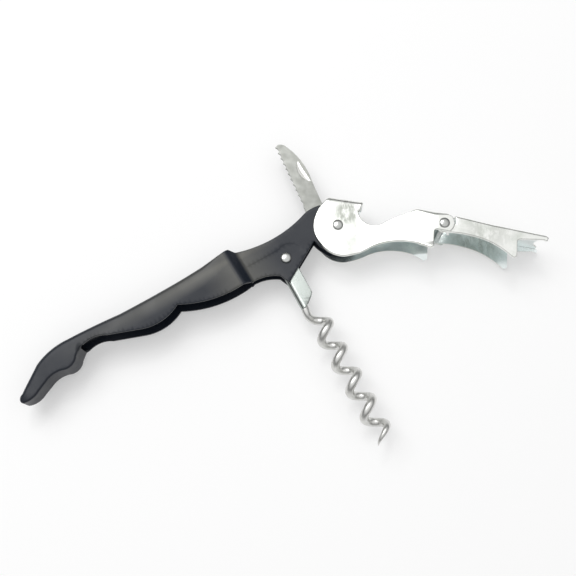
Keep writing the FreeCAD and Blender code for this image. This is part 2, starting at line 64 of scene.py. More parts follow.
HANDLE_ANGLE = 31.1
WORM_ANGLE = -62.2
KNIFE_ANGLE = 114.0


def local_frame(pin, angle):
    """From a part's own frame in millimetres to the row frame in metres."""
    turn = Matrix.Rotation(math.radians(angle), 4, "Z")
    return Matrix.Scale(MM, 4) @ Matrix.Translation(pin) @ turn


# ---------------------------------------------------------------- outlines

def circle_centre(first, middle, last):
    """The centre of the circle through three points."""
    ax, ay = first
    bx, by = middle
    cx, cy = last
    a = ax * ax + ay * ay
    b = bx * bx + by * by
    c = cx * cx + cy * cy
    divisor = 2 * (ax * (by - cy) + bx * (cy - ay) + cx * (ay - by))
    x = (a * (by - cy) + b * (cy - ay) + c * (ay - by)) / divisor
    y = (a * (cx - bx) + b * (ax - cx) + c * (bx - ax)) / divisor
    return x, y


def arc_points(first, middle, last, spacing):
    """Points along the circle through three points, without the first one."""
    x, y = circle_centre(first, middle, last)
    radius = math.hypot(first[0] - x, first[1] - y)
    start, mid, end = (math.atan2(py - y, px - x) for px, py in (first, middle, last))
    sweep = (end - start) % FULL_TURN
    if (mid - start) % FULL_TURN > sweep:
        sweep -= FULL_TURN
    count = max(2, int(math.ceil(abs(sweep) * radius / spacing)))
    points = []
    for number in range(1, count + 1):
        angle = start + sweep * number / count
        points.append((x + radius * math.cos(angle), y + radius * math.sin(angle)))
    return points


def line_points(first, last, spacing):
    """Points along a straight line, without the first one."""
    count = max(1, int(math.ceil(math.dist(first, last) / spacing)))
    dx, dy = last[0] - first[0], last[1] - first[1]
    return [(first[0] + dx * n / count, first[1] + dy * n / count) for n in range(1, count + 1)]


def outline_points(start, steps, spacing=0.45):
    """A step of two numbers is a line's end, one of four is an arc's middle and end."""
    points = []
    here = start
    for step in steps:
        end = (step[-2], step[-1])
        if len(step) == 2:
            points.extend(line_points(here, end, spacing))
        else:
            points.extend(arc_points(here, (step[0], step[1]), end, spacing))
        here = end
    return points


def nearest(points, target):
    """Which point of a list is nearest to a place."""
    return min(range(len(points)), key=lambda n: math.dist(points[n], target))


def stretch(points, first, last):
    """The part of a closed outline from one point to another, in its own direction."""
    start = nearest(points, first)
    end = nearest(points, last)
    if end < start:
        end += len(points)
    return [points[n % len(points)] for n in range(start, end + 1)]


def is_inside(polygon, xs, ys):
    """Even-odd test of many points at once."""
    inside = np.zeros(len(xs), bool)
    px, py = np.array(polygon).T
    qx, qy = np.roll(px, -1), np.roll(py, -1)
    for x1, y1, x2, y2 in zip(px, py, qx, qy):
        crosses = (y1 > ys) != (y2 > ys)
        with np.errstate(divide="ignore", invalid="ignore"):
            at = (x2 - x1) * (ys - y1) / (y2 - y1) + x1
        inside ^= crosses & (xs < at)
    return inside


def distance_to(path, xs, ys):
    """Distance of many points from an open polyline."""
    best = np.full(len(xs), 1e9)
    for (x1, y1), (x2, y2) in zip(path[:-1], path[1:]):
        dx, dy = x2 - x1, y2 - y1
        length = dx * dx + dy * dy
        if length < 1e-12:
            continue
        t = np.clip(((xs - x1) * dx + (ys - y1) * dy) / length, 0, 1)
        best = np.minimum(best, np.hypot(xs - x1 - t * dx, ys - y1 - t * dy))
    return best


def beside(path, distance_at):
    """A polyline moved to its left, by a distance that may change along it."""
    moved = []
    for number, (x, y) in enumerate(path):
        before = path[max(number - 1, 0)]
        after = path[min(number + 1, len(path) - 1)]
        tx, ty = after[0] - before[0], after[1] - before[1]
        run = math.hypot(tx, ty)
        distance = distance_at(x, y)
        moved.append((x - ty / run * distance, y + tx / run * distance))
    return moved


def always(value):
    """The same distance everywhere."""
    return lambda x, y: value


def circle_points(x, y, radius, count=28):
    angles = [FULL_TURN * n / count for n in range(count)]
    return [(x + radius * math.cos(angle), y + radius * math.sin(angle)) for angle in angles]


PIN_HOLE = 1.14  # radius of the holes that the rivets go through


# ---------------------------------------------------------------- sheet-metal skins

GRID_START = (0.31, 0.17)  # so that no grid point falls on an outline's round numbers
EDGE_CLEARANCE = 0.4       # shares of the grid that its points keep from the outline
LINE_CLEARANCE = 0.35      # and from holes and fold lines
MERGED = 1e-5              # points nearer to each other than this become one


def grid_points(outline, holes, lines, grid):
    """A square grid of points inside an outline, clear of its edge, its holes and the fold lines."""
    box = np.array(outline)
    low, high = box.min(0), box.max(0)
    columns = np.arange(low[0] + GRID_START[0], high[0], grid)
    rows = np.arange(low[1] + GRID_START[1], high[1], grid)
    xs, ys = (values.ravel() for values in np.meshgrid(columns, rows))
    keep = is_inside(outline, xs, ys)
    keep &= distance_to(outline + outline[:1], xs, ys) > grid * EDGE_CLEARANCE
    for line in lines:
        keep &= distance_to(line, xs, ys) > grid * LINE_CLEARANCE
    for hole in holes:
        keep &= distance_to(hole + hole[:1], xs, ys) > grid * LINE_CLEARANCE
    return [Vector((x, y)) for x, y in zip(xs[keep], ys[keep])]


def triangulate(outline, holes, lines, grid):
    """Triangles inside an outline, following its holes and the given fold lines."""
    points = []
    edges = []

    def add_chain(chain, closed):
        first = len(points)
        points.extend(Vector(p) for p in chain)
        for n in range(len(chain) - 1):
            edges.append((first + n, first + n + 1))
        if closed:
            edges.append((first + len(chain) - 1, first))

    add_chain(outline, True)
    for hole in holes:
        add_chain(hole, True)
    for line in lines:
        add_chain(line, False)
    if grid:
        points.extend(grid_points(outline, holes, lines, grid))
    verts, _, faces, _, _, _ = delaunay_2d_cdt(points, edges, [], 0, MERGED)
    spots = np.array([(v.x, v.y) for v in verts])
    tris = np.array([f for f in faces if len(f) == 3])
    centre = spots[tris].mean(axis=1)
    keep = is_inside(outline, centre[:, 0], centre[:, 1])
    for hole in holes:
        keep &= ~is_inside(hole, centre[:, 0], centre[:, 1])
    return spots, tris[keep]


ON_PATH = 1e-4  # how far off a path a vertex may be and still lie on it


def chain_on(spots, path):
    """Indices of the vertices that lie along a path, in its order."""
    chain = []
    for (x1, y1), (x2, y2) in zip(path[:-1], path[1:]):
        dx, dy = x2 - x1, y2 - y1
        length = math.hypot(dx, dy)
        if length < 1e-9:
            continue
        along = ((spots[:, 0] - x1) * dx + (spots[:, 1] - y1) * dy) / length
        off = np.abs((spots[:, 0] - x1) * dy - (spots[:, 1] - y1) * dx) / length
        on = np.where((off < ON_PATH) & (along > -ON_PATH) & (along < length + ON_PATH))[0]
        for index in on[np.argsort(along[on])]:
            if not chain or chain[-1] != index:
                chain.append(int(index))
    return chain


def rounding(distance, radius):
    """How far a bent sheet falls away at a distance from the outside of its bend."""
    d = np.clip(distance, 0, radius)
    return radius - np.sqrt(np.maximum(radius ** 2 - (radius - d) ** 2, 0))


def new_object(name, mesh_data):
    piece = bpy.data.objects.new(name, mesh_data)
    bpy.context.scene.collection.objects.link(piece)
    return piece


SHARP = math.radians(50)  # edges that turn more than this are drawn sharp
FLAT_FACES_LEAD = 80      # over 50, so that large faces count for more in the shading than small ones


def mesh_from(name, verts, faces, matrix, inside=()):
    """A smooth-shaded piece with sharp edges where it turns a corner.

    inside lists the faces that take the piece's second material, which on the plates and the knife's nick
    is painted light.
    """
    data = bpy.data.meshes.new(name)
    data.from_pydata([matrix @ Vector(v) for v in verts], [], faces)
    data.polygons.foreach_set("use_smooth", [True] * len(data.polygons))
    for number in inside:
        data.polygons[number].material_index = 1
    work = bmesh.new()
    work.from_mesh(data)
    bmesh.ops.recalc_face_normals(work, faces=work.faces)
    work.to_mesh(data)
    work.free()
    data.set_sharp_from_angle(angle=SHARP)
    piece = new_object(name, data)
    level = piece.modifiers.new("normals", "WEIGHTED_NORMAL")
    level.keep_sharp = True
    level.weight = FLAT_FACES_LEAD
    return piece


def flat_mesh(outline, holes, lines, grid):
    """The vertices and anticlockwise triangles of a flat outline, without loose vertices."""
    spots, tris = triangulate(outline, holes, lines, grid)
    used = np.unique(tris)
    renumber = {int(old): new for new, old in enumerate(used)}
    spots = spots[used]
    faces = []
    for tri in tris:
        a, b, c = (renumber[int(i)] for i in tri)
        (ax, ay), (bx, by), (cx, cy) = spots[a], spots[b], spots[c]
        if (bx - ax) * (cy - ay) - (by - ay) * (cx - ax) < 0:
            b, c = c, b
        faces.append((a, b, c))
    return spots, faces


def open_edges(faces):
    """Edges that only one face uses, in that face's direction."""
    count = {}
    for face in faces:
        for a, b in zip(face, face[1:] + face[:1]):
            key = (min(a, b), max(a, b))
            count.setdefault(key, []).append((a, b))
    return [pairs[0] for pairs in count.values() if len(pairs) == 1]


def vertex_normals(verts, faces):
    """Outward normals of an open surface, weighted by area."""
    places = np.array(verts)
    normals = np.zeros_like(places)
    for face in faces:
        corners = places[list(face)]
        area = np.zeros(3)
        for n in range(1, len(face) - 1):
            area += np.cross(corners[n] - corners[0], corners[n + 1] - corners[0])
        size = np.linalg.norm(area)
        if size > 1e-12:
            normals[list(face)] += area / math.sqrt(size)
    return normals / np.linalg.norm(normals, axis=1, keepdims=True)


EDGE = 0.2      # how far the paint rounds a sheet's cut edges
TUMBLED = 0.32  # how far plating and tumbling round them


def web_rows(spots, zs, chain, across, fork):
    """Rows of points from the near plate to the far one along a bent web: index or new place."""
    lengths = [0.0]
    for a, b in zip(chain[:-1], chain[1:]):
        lengths.append(lengths[-1] + math.dist(spots[a], spots[b]))
    rows = []
    for index, run in zip(chain, lengths):
        row = [index]
        for column in range(1, across):
            t = 1 - 2 * column / across
            cut = fork(t)
            here = cut + run * (1 - cut / lengths[-1])
            px = float(np.interp(here, lengths, spots[chain, 0]))
            py = float(np.interp(here, lengths, spots[chain, 1]))
            row.append((px, py, zs[index] * t))
        rows.append(row)
    return rows


def no_fork(t):
    return 0.0


BEND_STEPS = 5  # fold lines across each bend


def fold_lines(paths, webs, cuts, edge):
    """Lines beside the bends and beside the cut edges, where the sheet starts to curve away."""
    folds = []
    for path, (first, last, radius_at) in zip(paths, webs):
        for step in range(1, BEND_STEPS + 1):
            share = 1 - math.cos(math.radians(90 * step / BEND_STEPS))
            folds.append(beside(path, lambda x, y: share * radius_at(x, y)))
    for cut in cuts:
        folds.append(beside(cut, always(0.3 * edge)))
        folds.append(beside(cut, always(edge)))
    return folds


def bend_fall(spots, paths, webs):
    """How far each point of a plate falls away in the bends."""
    xs, ys = spots[:, 0], spots[:, 1]
    fall = np.zeros(len(spots))
    for path, (first, last, radius_at) in zip(paths, webs):
        fall = np.maximum(fall, rounding(distance_to(path, xs, ys), radius_at(xs, ys)))
    return fall


def edge_drop(spots, cuts, edge):
    """How far each point of a plate is taken in by the rounding of its cut edges."""
    xs, ys = spots[:, 0], spots[:, 1]
    drop = np.zeros(len(spots))
    for cut in cuts:
        drop = np.maximum(drop, rounding(distance_to(cut, xs, ys), edge))
    return drop


def mirrored(tris, count):
    """The far plate's triangles, which face the other way."""
    return [(a + count, c + count, b + count) for a, b, c in tris]


def add_web(verts, faces, drop, places, count, edge):
    """Add a web between plates of count points each; its first and last row are cut edges."""
    rows = []
    for place in places:
        row = [place[0]]
        for point in place[1:]:
            row.append(len(verts))
            verts.append(point)
            drop.append(0.0)
        row.append(place[0] + count)
        rows.append(row)
    for row in (rows[0], rows[-1]):
        for index in row[1:-1]:
            drop[index] = edge
    for before, after in zip(rows[:-1], rows[1:]):
        for column in range(len(before) - 1):
            faces.append((before[column], before[column + 1], after[column + 1], after[column]))


def thicken(verts, faces, drop, thickness):
    """The closed sheet behind an outer surface: its points, its faces, and which faces are inside."""
    normals = vertex_normals(verts, faces)
    outer = np.array(verts)
    inner = outer - normals * thickness
    outer = outer - normals * np.array(drop)[:, None]
    total = len(verts)
    solid = list(faces)
    solid += [tuple(i + total for i in reversed(face)) for face in faces]
    inside = range(len(faces), len(solid))
    solid += [(b, a, a + total, b + total) for a, b in open_edges(faces)]
    return list(outer) + list(inner), solid, inside


def skin(name, matrix, outline, webs, height, thickness, holes=(), lines=(), grid=0.0, across=8,
         fork=no_fork, edge=EDGE):
    """Folded sheet metal: two mirrored plates joined by bent webs, as a closed piece of even thickness.

    height(xs, ys) is the half-width outside. Each web is its first and last point on the outline and a
    function of x and y for the radius of its bend; webs follow the outline's order. across is the number of
    faces across a web. fork(t) cuts the start of a web back, t running from -1 to 1 across it. edge is how
    far the cut edges are rounded.
    """
    paths = [stretch(outline, first, last) for first, last, radius_at in webs]
    cuts = []
    for number, (first, last, radius_at) in enumerate(webs):
        following = webs[(number + 1) % len(webs)]
        cuts.append(stretch(outline, last, following[0]))
    folds = list(lines) + fold_lines(paths, webs, cuts, edge)
    spots, tris = flat_mesh(outline, holes, folds, grid)
    xs, ys = spots[:, 0], spots[:, 1]
    zs = height(xs, ys) - bend_fall(spots, paths, webs)
    count = len(spots)
    verts = list(zip(xs, ys, zs)) + list(zip(xs, ys, -zs))
    drop = 2 * list(edge_drop(spots, cuts, edge))
    faces = list(tris) + mirrored(tris, count)
    for path in paths:
        places = web_rows(spots, zs, chain_on(spots, path), across, fork)
        add_web(verts, faces, drop, places, count, edge)
    verts, solid, inside = thicken(verts, faces, drop, thickness)
    return mesh_from(name, verts, solid, matrix, inside)


def upright_lines(places, low, high):
    """Lines across a plate, for where its half-width changes."""
    return [[(x, low), (x, high)] for x in places]


def stations(values, ease=0.45):
    """A half-width that runs straight between stations, eased a little at each."""
    places = [x for x, _ in values]
    widths = [width for _, width in values]

    def width_at(xs, ys):
        total = 0
        for share in (-1.0, -0.5, 0.0, 0.5, 1.0):
            total = total + np.interp(xs + share * ease, places, widths)
        return total / 5

    return width_at


# ---------------------------------------------------------------- handle

SHEET = 0.8
HEAD_RIM = 7.2          # radius of the head's round end
SHOULDER = (-32.6, 10.45)
WEB_END = (-84.2, 6.2)  # the web closes the back and the tail, and ends in the belly's first hollow
GRIP = (-88.0, -34.5)   # the stretch whose sides are swelled a little
GRIP_FADES = (12.0, 8.0)  # the lengths in which the swelling starts and ends
GRIP_MIDDLE = 4.8
GRIP_HALF = 5.0
GRIP_CROWN = 0.24
PANEL = (-31.0, -13.0)  # the stretch of the neck whose lower half is pressed in
PANEL_DEPTH = 0.1
PANEL_WALL = 0.4
PANEL_LOW = -7.0
PANEL_FADE = 6.0


def on_rim(angle):
    return (HEAD_RIM * math.cos(math.radians(angle)), HEAD_RIM * math.sin(math.radians(angle)))


def handle_outline():
    """Anticlockwise from the tail, along the belly and round the head, with the metal on the left."""
    start = (-105.4, 0.5)
    steps = [
        (-102.4, 0.3, -100.0, 1.2),
        (-97.3, 2.4),
        (-94.6, 3.3, -91.6, 3.1),
        (-88.4, 2.9, -86.2, 4.7),
        (-81.3, 7.0, -75.8, 5.6),
        (-66.8, 2.1),
        (-60.5, 1.05, -53.8, 3.0),
        (-43.5, -0.9, -34.0, -1.6),
        (-31.0, -1.8),
        (-26.7, -2.5, -23.1, -4.4),
        (-21.9, -7.6),
        (-8.6, -0.3),
        (-7.7, -3.3, -6.2, -6.2),
        on_rim(-131.0),
        on_rim(-27.0) + on_rim(77.5),
        (-0.9, 8.7),
        (-3.6, 9.1, -6.6, 8.8),
        (-17.6, 6.8, -31.1, 8.8),
        SHOULDER,
        (-42.3, 9.65, -51.7, 9.3),
        (-60.6, 9.3, -69.8, 9.5),
        (-78.3, 10.25, -86.0, 10.65),
        (-93.0, 10.2, -97.3, 8.65),
        (-104.7, 3.3),
        (-106.1, 1.7, -105.4, 0.5),
    ]
    return outline_points(start, steps)


def handle_crease():
    """The panel's upper border, which curls down before the head."""
    return outline_points((-31.0, 3.2), [(-19.4, 3.0), (-14.6, 2.6, -13.0, -0.4)], 0.5)


def grip_crown(xs, ys):
    """How far the grip's sides swell: most along their middle, and not at all at the grip's ends."""
    along = np.clip((xs - GRIP[0]) / GRIP_FADES[0], 0, 1) * np.clip((GRIP[1] - xs) / GRIP_FADES[1], 0, 1)
    across = np.clip((ys - GRIP_MIDDLE) / GRIP_HALF, -1, 1)
    return GRIP_CROWN * along * np.cos(math.pi / 2 * across) ** 2


def neck_press(xs, ys, crease):
    """How far the neck is pressed in below its crease, fading out towards its lower edge."""
    crease_xs, crease_ys = zip(*crease)
    below = (xs > PANEL[0]) & (xs < PANEL[1]) & (ys < np.interp(xs, crease_xs, crease_ys))
    depth = np.clip(distance_to(crease, xs, ys) / PANEL_WALL, 0, 1)
    depth = depth * np.clip((ys - PANEL_LOW) / PANEL_FADE, 0, 1)
    return np.where(below, PANEL_DEPTH * depth, 0.0)


def handle_bend(x, y):
    """Radius of the handle's bend: tight at the shoulder and below the tail, full along the back."""
    back = np.interp(x, (-42.0, -36.0), (1.5, 0.5))
    middle = np.interp(x, (-107.0, -97.0, -86.0, -80.0), (1.6, 5.0, 6.5, 3.0))
    above = np.clip((y - middle) / 1.6 + 0.5, 0, 1)
    return 0.6 + (back - 0.6) * above


def build_handle():
    tail = ((-112.0, 2.9), (-106.5, 2.9), (-104.0, 3.6), (-84.0, 4.6))
    step = ((-33.5, 4.6), (-31.0, 2.5))
    head = ((12.0, 2.5),)
    width = stations(tail + step + head, 0.6)
    crease = handle_crease()

    def height(xs, ys):
        return width(xs, ys) + grip_crown(xs, ys) - neck_press(xs, ys, crease)

    step_lines = (-34.1, -33.8, -33.5, -33.2, -32.9, -31.6, -31.3, -31.0, -30.7, -30.4)
    lines = upright_lines(step_lines, -3.0, 11.0)
    lines += [crease, beside(crease, always(-PANEL_WALL / 2)), beside(crease, always(-PANEL_WALL))]
    turn = Matrix.Rotation(-math.radians(HANDLE_ANGLE), 2)
    holes = []
    for pin in (LEVER_PIN, WORM_PIN, KNIFE_PIN):
        spot = turn @ (pin - LEVER_PIN).xy
        holes.append(circle_points(spot.x, spot.y, PIN_HOLE))
    webs = [(SHOULDER, WEB_END, handle_bend)]
    return skin("handle_skin", local_frame(LEVER_PIN, HANDLE_ANGLE), handle_outline(), webs, height, SHEET,
                holes, lines, grid=1.3)


# ---------------------------------------------------------------- lever

LIP = ((-2.1, 9.55), (8.1, 7.95))     # the cap lifter's web
BRIDGE = ((24.3, 4.5), (32.6, 2.93))  # the web beside the foot's hinge
FLARE = ((23.9, -6.6), (28.6, -6.2))  # the corner below this line stands on the bottle's rim
FLARE_SLOPE = 0.35                    # how far it goes out for each millimetre below the line


def arm_outline():
    """Anticlockwise from the lip, round the disc, with the metal on the left."""
    steps = [
        (-5.3, 6.2, -7.23, 1.65),
        (-7.15, -2.4, -5.04, -6.2),
        (-2.4, -8.7, 1.8, -9.9),
        (5.9, -9.0, 9.6, -7.3),
        (15.7, -5.7, 21.8, -6.05),
        (24.9, -6.95, 27.24, -8.1),
        (28.3, -7.6),
        (28.7, -2.8),
        (29.2, -2.3),
        (33.2, -3.15),
        (34.95, -0.9, 34.4, 1.7),
        BRIDGE[1],
        BRIDGE[0],
        (18.8, 2.62),
        (14.4, 0.75),
        (9.7, -0.05, 6.8, 2.6),
        (6.3, 4.25),
        (6.9, 4.8),
        LIP[1],
        LIP[0],
    ]
    return outline_points(LIP[0], steps)


def flare_out(xs, ys):
    """How far the corner on the bottle's rim is flared outwards."""
    along = Vector(FLARE[1]) - Vector(FLARE[0])
    beyond = ((xs - FLARE[0][0]) * along.y - (ys - FLARE[0][1]) * along.x) / along.length
    return FLARE_SLOPE * np.where(xs > FLARE[0][0], np.clip(beyond, 0, 2), 0.0)


def bridge_bend(x, y):
    """The second bend opens out towards the foot, and closes again to leave the foot's eye room."""
    return np.interp(x, (BRIDGE[0][0], 29.6, BRIDGE[1][0]), (0.8, 1.7, 1.0))


def build_arm():
    width = stations(((-14.0, 3.6), (6.0, 3.6), (30.0, 6.55), (42.0, 6.55)))

    def height(xs, ys):
        return width(xs, ys) + flare_out(xs, ys)

    lines = upright_lines((5.55, 5.78, 6.0, 6.22, 6.45, 29.55, 29.78, 30.0, 30.22, 30.45), -12.0, 10.0)
    lines.append(list(FLARE))
    foot = (FOOT_PIN - LEVER_PIN).xy
    holes = [circle_points(0, 0, PIN_HOLE), circle_points(foot.x, foot.y, PIN_HOLE)]
    webs = [(BRIDGE[1], BRIDGE[0], bridge_bend), (LIP[1], LIP[0], always(1.8))]
    return skin("lever_arm_skin", local_frame(LEVER_PIN, 0), arm_outline(), webs, height, SHEET,
                holes, lines, edge=TUMBLED)


FOOT_HEEL = (3.6, 2.9)     # the foot's web runs from here
FOOT_TOE = (30.6, -3.6)    # to here, where it ends in a tongue
NOTCH_RADIUS = 4.46        # the round notch between the tongue's two prongs
NOTCH_CENTRE = 33.06       # how far its centre is along the foot
TONGUE_HALF = 4.85         # half of the tongue's width


def foot_outline():
    steps = [
        (-1.6, -1.75, -2.2, 0.0),
        (-0.9, 2.0, 2.2, 0.15),
        (3.75, 0.2),
        FOOT_HEEL,
        (8.0, 1.7),
        (14.8, -0.2),
        (22.1, -1.85),
        FOOT_TOE,
        (31.2, -4.6),
        (30.7, -5.6),
        (29.5, -5.1),
        (22.2, -5.0),
        (21.65, -5.5),
        (21.25, -9.8),
        (20.6, -10.7, 19.6, -10.4),
        (14.2, -6.1, 7.6, -3.5),
        (3.9, -2.75, 0.0, -2.5),
    ]
    # listed clockwise, so it is turned round to keep the metal on the left
    return outline_points((0.0, -2.5), steps)[::-1]


def notch(t):
    """How far the notch cuts back the tongue, at t from -1 to 1 across it."""
    across = NOTCH_RADIUS ** 2 - (t * TONGUE_HALF) ** 2
    if across <= 0:
        return 0.0
    return max(0.0, FOOT_TOE[0] - NOTCH_CENTRE + math.sqrt(across))


def build_foot():
    height = stations(((-8.0, 5.55), (3.6, 5.55), (20.0, 6.05), (22.0, 6.05), (34.0, 5.7)))
    webs = [(FOOT_TOE, FOOT_HEEL, always(0.9))]
    return skin("lever_foot_skin", local_frame(FOOT_PIN, 0), foot_outline(), webs, height, SHEET,
                [circle_points(0, 0, PIN_HOLE)], fork=notch, edge=TUMBLED)


# ---------------------------------------------------------------- worm

def tube(name, matrix, path, radii, sides=24):
    """A round bar along a smooth path, closed at both ends."""
    path = [Vector(p) for p in path]
    heading = (path[1] - path[0]).normalized()
    across = heading.orthogonal().normalized()
    verts = []
    faces = []
    for number, point in enumerate(path):
        before = path[max(number - 1, 0)]
        after = path[min(number + 1, len(path) - 1)]
        heading = (after - before).normalized()
        across = (across - heading * across.dot(heading)).normalized()
        up = heading.cross(across)
        for side in range(sides):
            angle = FULL_TURN * side / sides
            verts.append(point + (across * math.cos(angle) + up * math.sin(angle)) * radii[number])
    for ring in range(len(path) - 1):
        for side in range(sides):
            a = ring * sides + side
            b = ring * sides + (side + 1) % sides
            faces.append((a, b, b + sides, a + sides))
    faces.append(tuple(range(sides - 1, -1, -1)))
    faces.append(tuple(range((len(path) - 1) * sides, len(path) * sides)))
    return mesh_from(name, verts, faces, matrix)


WIRE = 1.2          # radius of the wire in the clip
BARE_SWELL = 0.07   # how much thicker it is outside the clip
COIL = 2.45         # radius of the coil's centre line
PITCH = 8.5
TOP_OFFSET = 1.6    # the wire's straight top runs this far to the left of the worm's axis
WORM_START = 1.3    # places along the worm, from its rivet
CLIP_END = 16.0
FIRST_RIGHT = 23.0  # where the coil is first furthest to the right
WORM_END = 61.3
TURN_RAMP = 6.0     # the length in which the coil reaches its pitch
COIL_LEAD = 12.0    # where the wire starts to leave its straight top
COIL_LEAD_RUN = 8.0
SWELL_RUN = 4.0
POINT_LENGTH = 5.0
POINT_TIP = 0.05    # the point's end, as a share of the wire
POINT_CURVE = 0.7   # below 1, so that the point is a little full
WIRE_RINGS = 460


def within(value):
    """A share held between 0 and 1."""
    return min(max(value, 0.0), 1.0)


def coil_angle(along):
    """The wire's place round the axis: still at first, then turning faster until it keeps the pitch."""
    past = along - (FIRST_RIGHT - PITCH / 2 - TURN_RAMP / 2)
    if past <= 0:
        turned = 0.0
    elif past < TURN_RAMP:
        turned = past * past / (2 * TURN_RAMP)
    else:
        turned = past - TURN_RAMP / 2
    return -math.pi + FULL_TURN * turned / PITCH


def coil_reach(along):
    """The centre line's distance from the axis, which grows gently from the straight top to the coil."""
    grow = within((along - COIL_LEAD) / COIL_LEAD_RUN)
    grow = grow * grow * (3 - 2 * grow)
    return TOP_OFFSET + (COIL - TOP_OFFSET) * grow


def wire_radius(along):
    """The bare wire is a little thicker than what the clip holds, and is ground to a point."""
    bare = within((along - CLIP_END) / SWELL_RUN)
    left = within((WORM_END - along) / POINT_LENGTH)
    return (WIRE + BARE_SWELL * bare) * (POINT_TIP + (1 - POINT_TIP) * left ** POINT_CURVE)


def build_worm():
    path = []
    radii = []
    for number in range(WIRE_RINGS + 1):
        along = WORM_START + (WORM_END - WORM_START) * number / WIRE_RINGS
        angle = coil_angle(along)
        reach = coil_reach(along)
        path.append((along, reach * math.cos(angle), reach * math.sin(angle)))
        radii.append(wire_radius(along))
    return tube("worm_wire", local_frame(WORM_PIN, WORM_ANGLE), path, radii)


CLIP_LEFT = -3.2    # the clip's fold, beside the wire's straight top
CLIP_HALF = 1.55
CLIP_BEND = 1.45
CLIP_SHEET = 0.38


def build_clip():
    """A strap folded lengthwise round the wire, with a slanting lower end."""
    top = (-1.6, CLIP_LEFT)
    tail = (16.2, CLIP_LEFT)
    steps = [(16.1, CLIP_LEFT + 1.5), (12.9, 2.1), (0.0, 2.1), (-2.5, 0.0), top, tail]
    outline = outline_points(tail, steps)

    def height(xs, ys):
        return np.full(len(xs), CLIP_HALF)

    webs = [(top, tail, always(CLIP_BEND))]
    return skin("worm_clip_strap", local_frame(WORM_PIN, WORM_ANGLE), outline, webs, height, CLIP_SHEET,
                [circle_points(0, 0, PIN_HOLE)], across=2)


# ---------------------------------------------------------------- knife

BLADE_HALF = 0.5
CUTTING_EDGE = 2.3       # how far the edge is from the blade's long axis
TEETH = 11
TOOTH_PITCH = 1.95
FIRST_TOOTH = 7.6        # the teeth end here, towards the pivot
TOOTH_DEPTH = 0.62       # of the first tooth, at the blade's tip
TOOTH_FADE = 0.03        # each one after it is this much shallower
GROUND_FROM = 7.4
GROUND_WIDTH = 0.9
ROOT_LINE = 1.62         # just behind the roots of the teeth
NICK_DEPTH = 0.2
NICK_WALL = [(14.2, -3.2), (22.0, -2.3)]  # the nail nick's straight side
NICK_WALL_WIDTH = 0.3
NICK_RISE = 1.7


def blade_outline():
    """Anticlockwise from the pivot, along the spine and back along the teeth."""
    steps = [
        (6.3, -3.35),
        (14.1, -3.6),
        (20.0, -3.6, 25.6, -2.2),
        (28.2, -1.0),
        (29.3, -0.1, 29.85, 1.2),
        (29.3, CUTTING_EDGE),
    ]
    for tooth in range(TEETH):
        start = FIRST_TOOTH + (TEETH - tooth) * TOOTH_PITCH
        depth = TOOTH_DEPTH - TOOTH_FADE * tooth
        steps.append((start - TOOTH_PITCH / 2, CUTTING_EDGE - depth, start - TOOTH_PITCH, CUTTING_EDGE))
    steps.append((0.0, 2.6))
    steps.append((-2.6, 0.0, 0.0, -2.6))
    return outline_points((0.0, -2.6), steps, 0.3)


def nick_curve():
    """The nail nick's curved side."""
    return [NICK_WALL[1]] + outline_points(NICK_WALL[1], [(18.0, -1.0, 14.2, -3.2)], 0.3)


def far_side(xs, ys):
    """The teeth are ground from the far side only."""
    ground = BLADE_HALF * np.clip(0.1 + (CUTTING_EDGE - ys) / GROUND_WIDTH, 0.1, 1)
    return np.where(xs > GROUND_FROM, ground, BLADE_HALF)


def near_side(xs, ys, nick):
    """The nail nick is deepest along its straight side and rises gently to its curved one."""
    rise = distance_to(nick_curve(), xs, ys) / NICK_RISE
    wall = distance_to(NICK_WALL, xs, ys) / NICK_WALL_WIDTH
    slope = np.minimum(rise, wall)
    return BLADE_HALF - np.where(is_inside(nick, xs, ys), NICK_DEPTH * np.clip(slope, 0, 1), 0.0)


def build_knife():
    nick = nick_curve()[:-1] + [NICK_WALL[0]]
    roots = [(GROUND_FROM, ROOT_LINE), (29.4, ROOT_LINE)]
    lines = [roots, nick + nick[:1], beside(NICK_WALL, always(NICK_WALL_WIDTH))]
    spots, tris = flat_mesh(blade_outline(), [circle_points(0, 0, PIN_HOLE)], lines, 0.5)
    xs, ys = spots[:, 0], spots[:, 1]
    count = len(spots)
    verts = list(zip(xs, ys, near_side(xs, ys, nick))) + list(zip(xs, ys, -far_side(xs, ys)))
    faces = list(tris) + mirrored(tris, count)
    faces += [(b, a, a + count, b + count) for a, b in open_edges(tris)]
    centre = spots[np.array(tris)].mean(axis=1)
    # the nick's faces take the second material, a painted highlight
    pressed = [int(n) for n in np.flatnonzero(is_inside(nick, centre[:, 0], centre[:, 1]))]
    return mesh_from("knife_plate", verts, faces, local_frame(KNIFE_PIN, KNIFE_ANGLE), pressed)


# ---------------------------------------------------------------- rivets

def lathe(name, pin, profile, sides=48):
    """A turned piece from pairs of radius and height above the mid-plane, bottom to top."""
    verts = []
    faces = []
    for radius, z in profile:
        for side in range(sides):
            angle = FULL_TURN * side / sides
            verts.append((radius * math.cos(angle), radius * math.sin(angle), z))
    for ring in range(len(profile) - 1):
        for side in range(sides):
            a = ring * sides + side
            b = ring * sides + (side + 1) % sides
            faces.append((a, b, b + sides, a + sides))
    faces.append(tuple(range(sides - 1, -1, -1)))
    faces.append(tuple(range((len(profile) - 1) * sides, len(profile) * sides)))
    return mesh_from(name, verts, faces, local_frame(pin, 0))


SHANK = 1.1
RIVET_HEAD = 1.6
HEAD_WALL = 0.22    # the upright rim below the dome
DOME = 0.62
SEAT_GAP = 0.02     # between the plate and the head
SHANK_OUT = 0.45    # how far the shank goes past the far plate


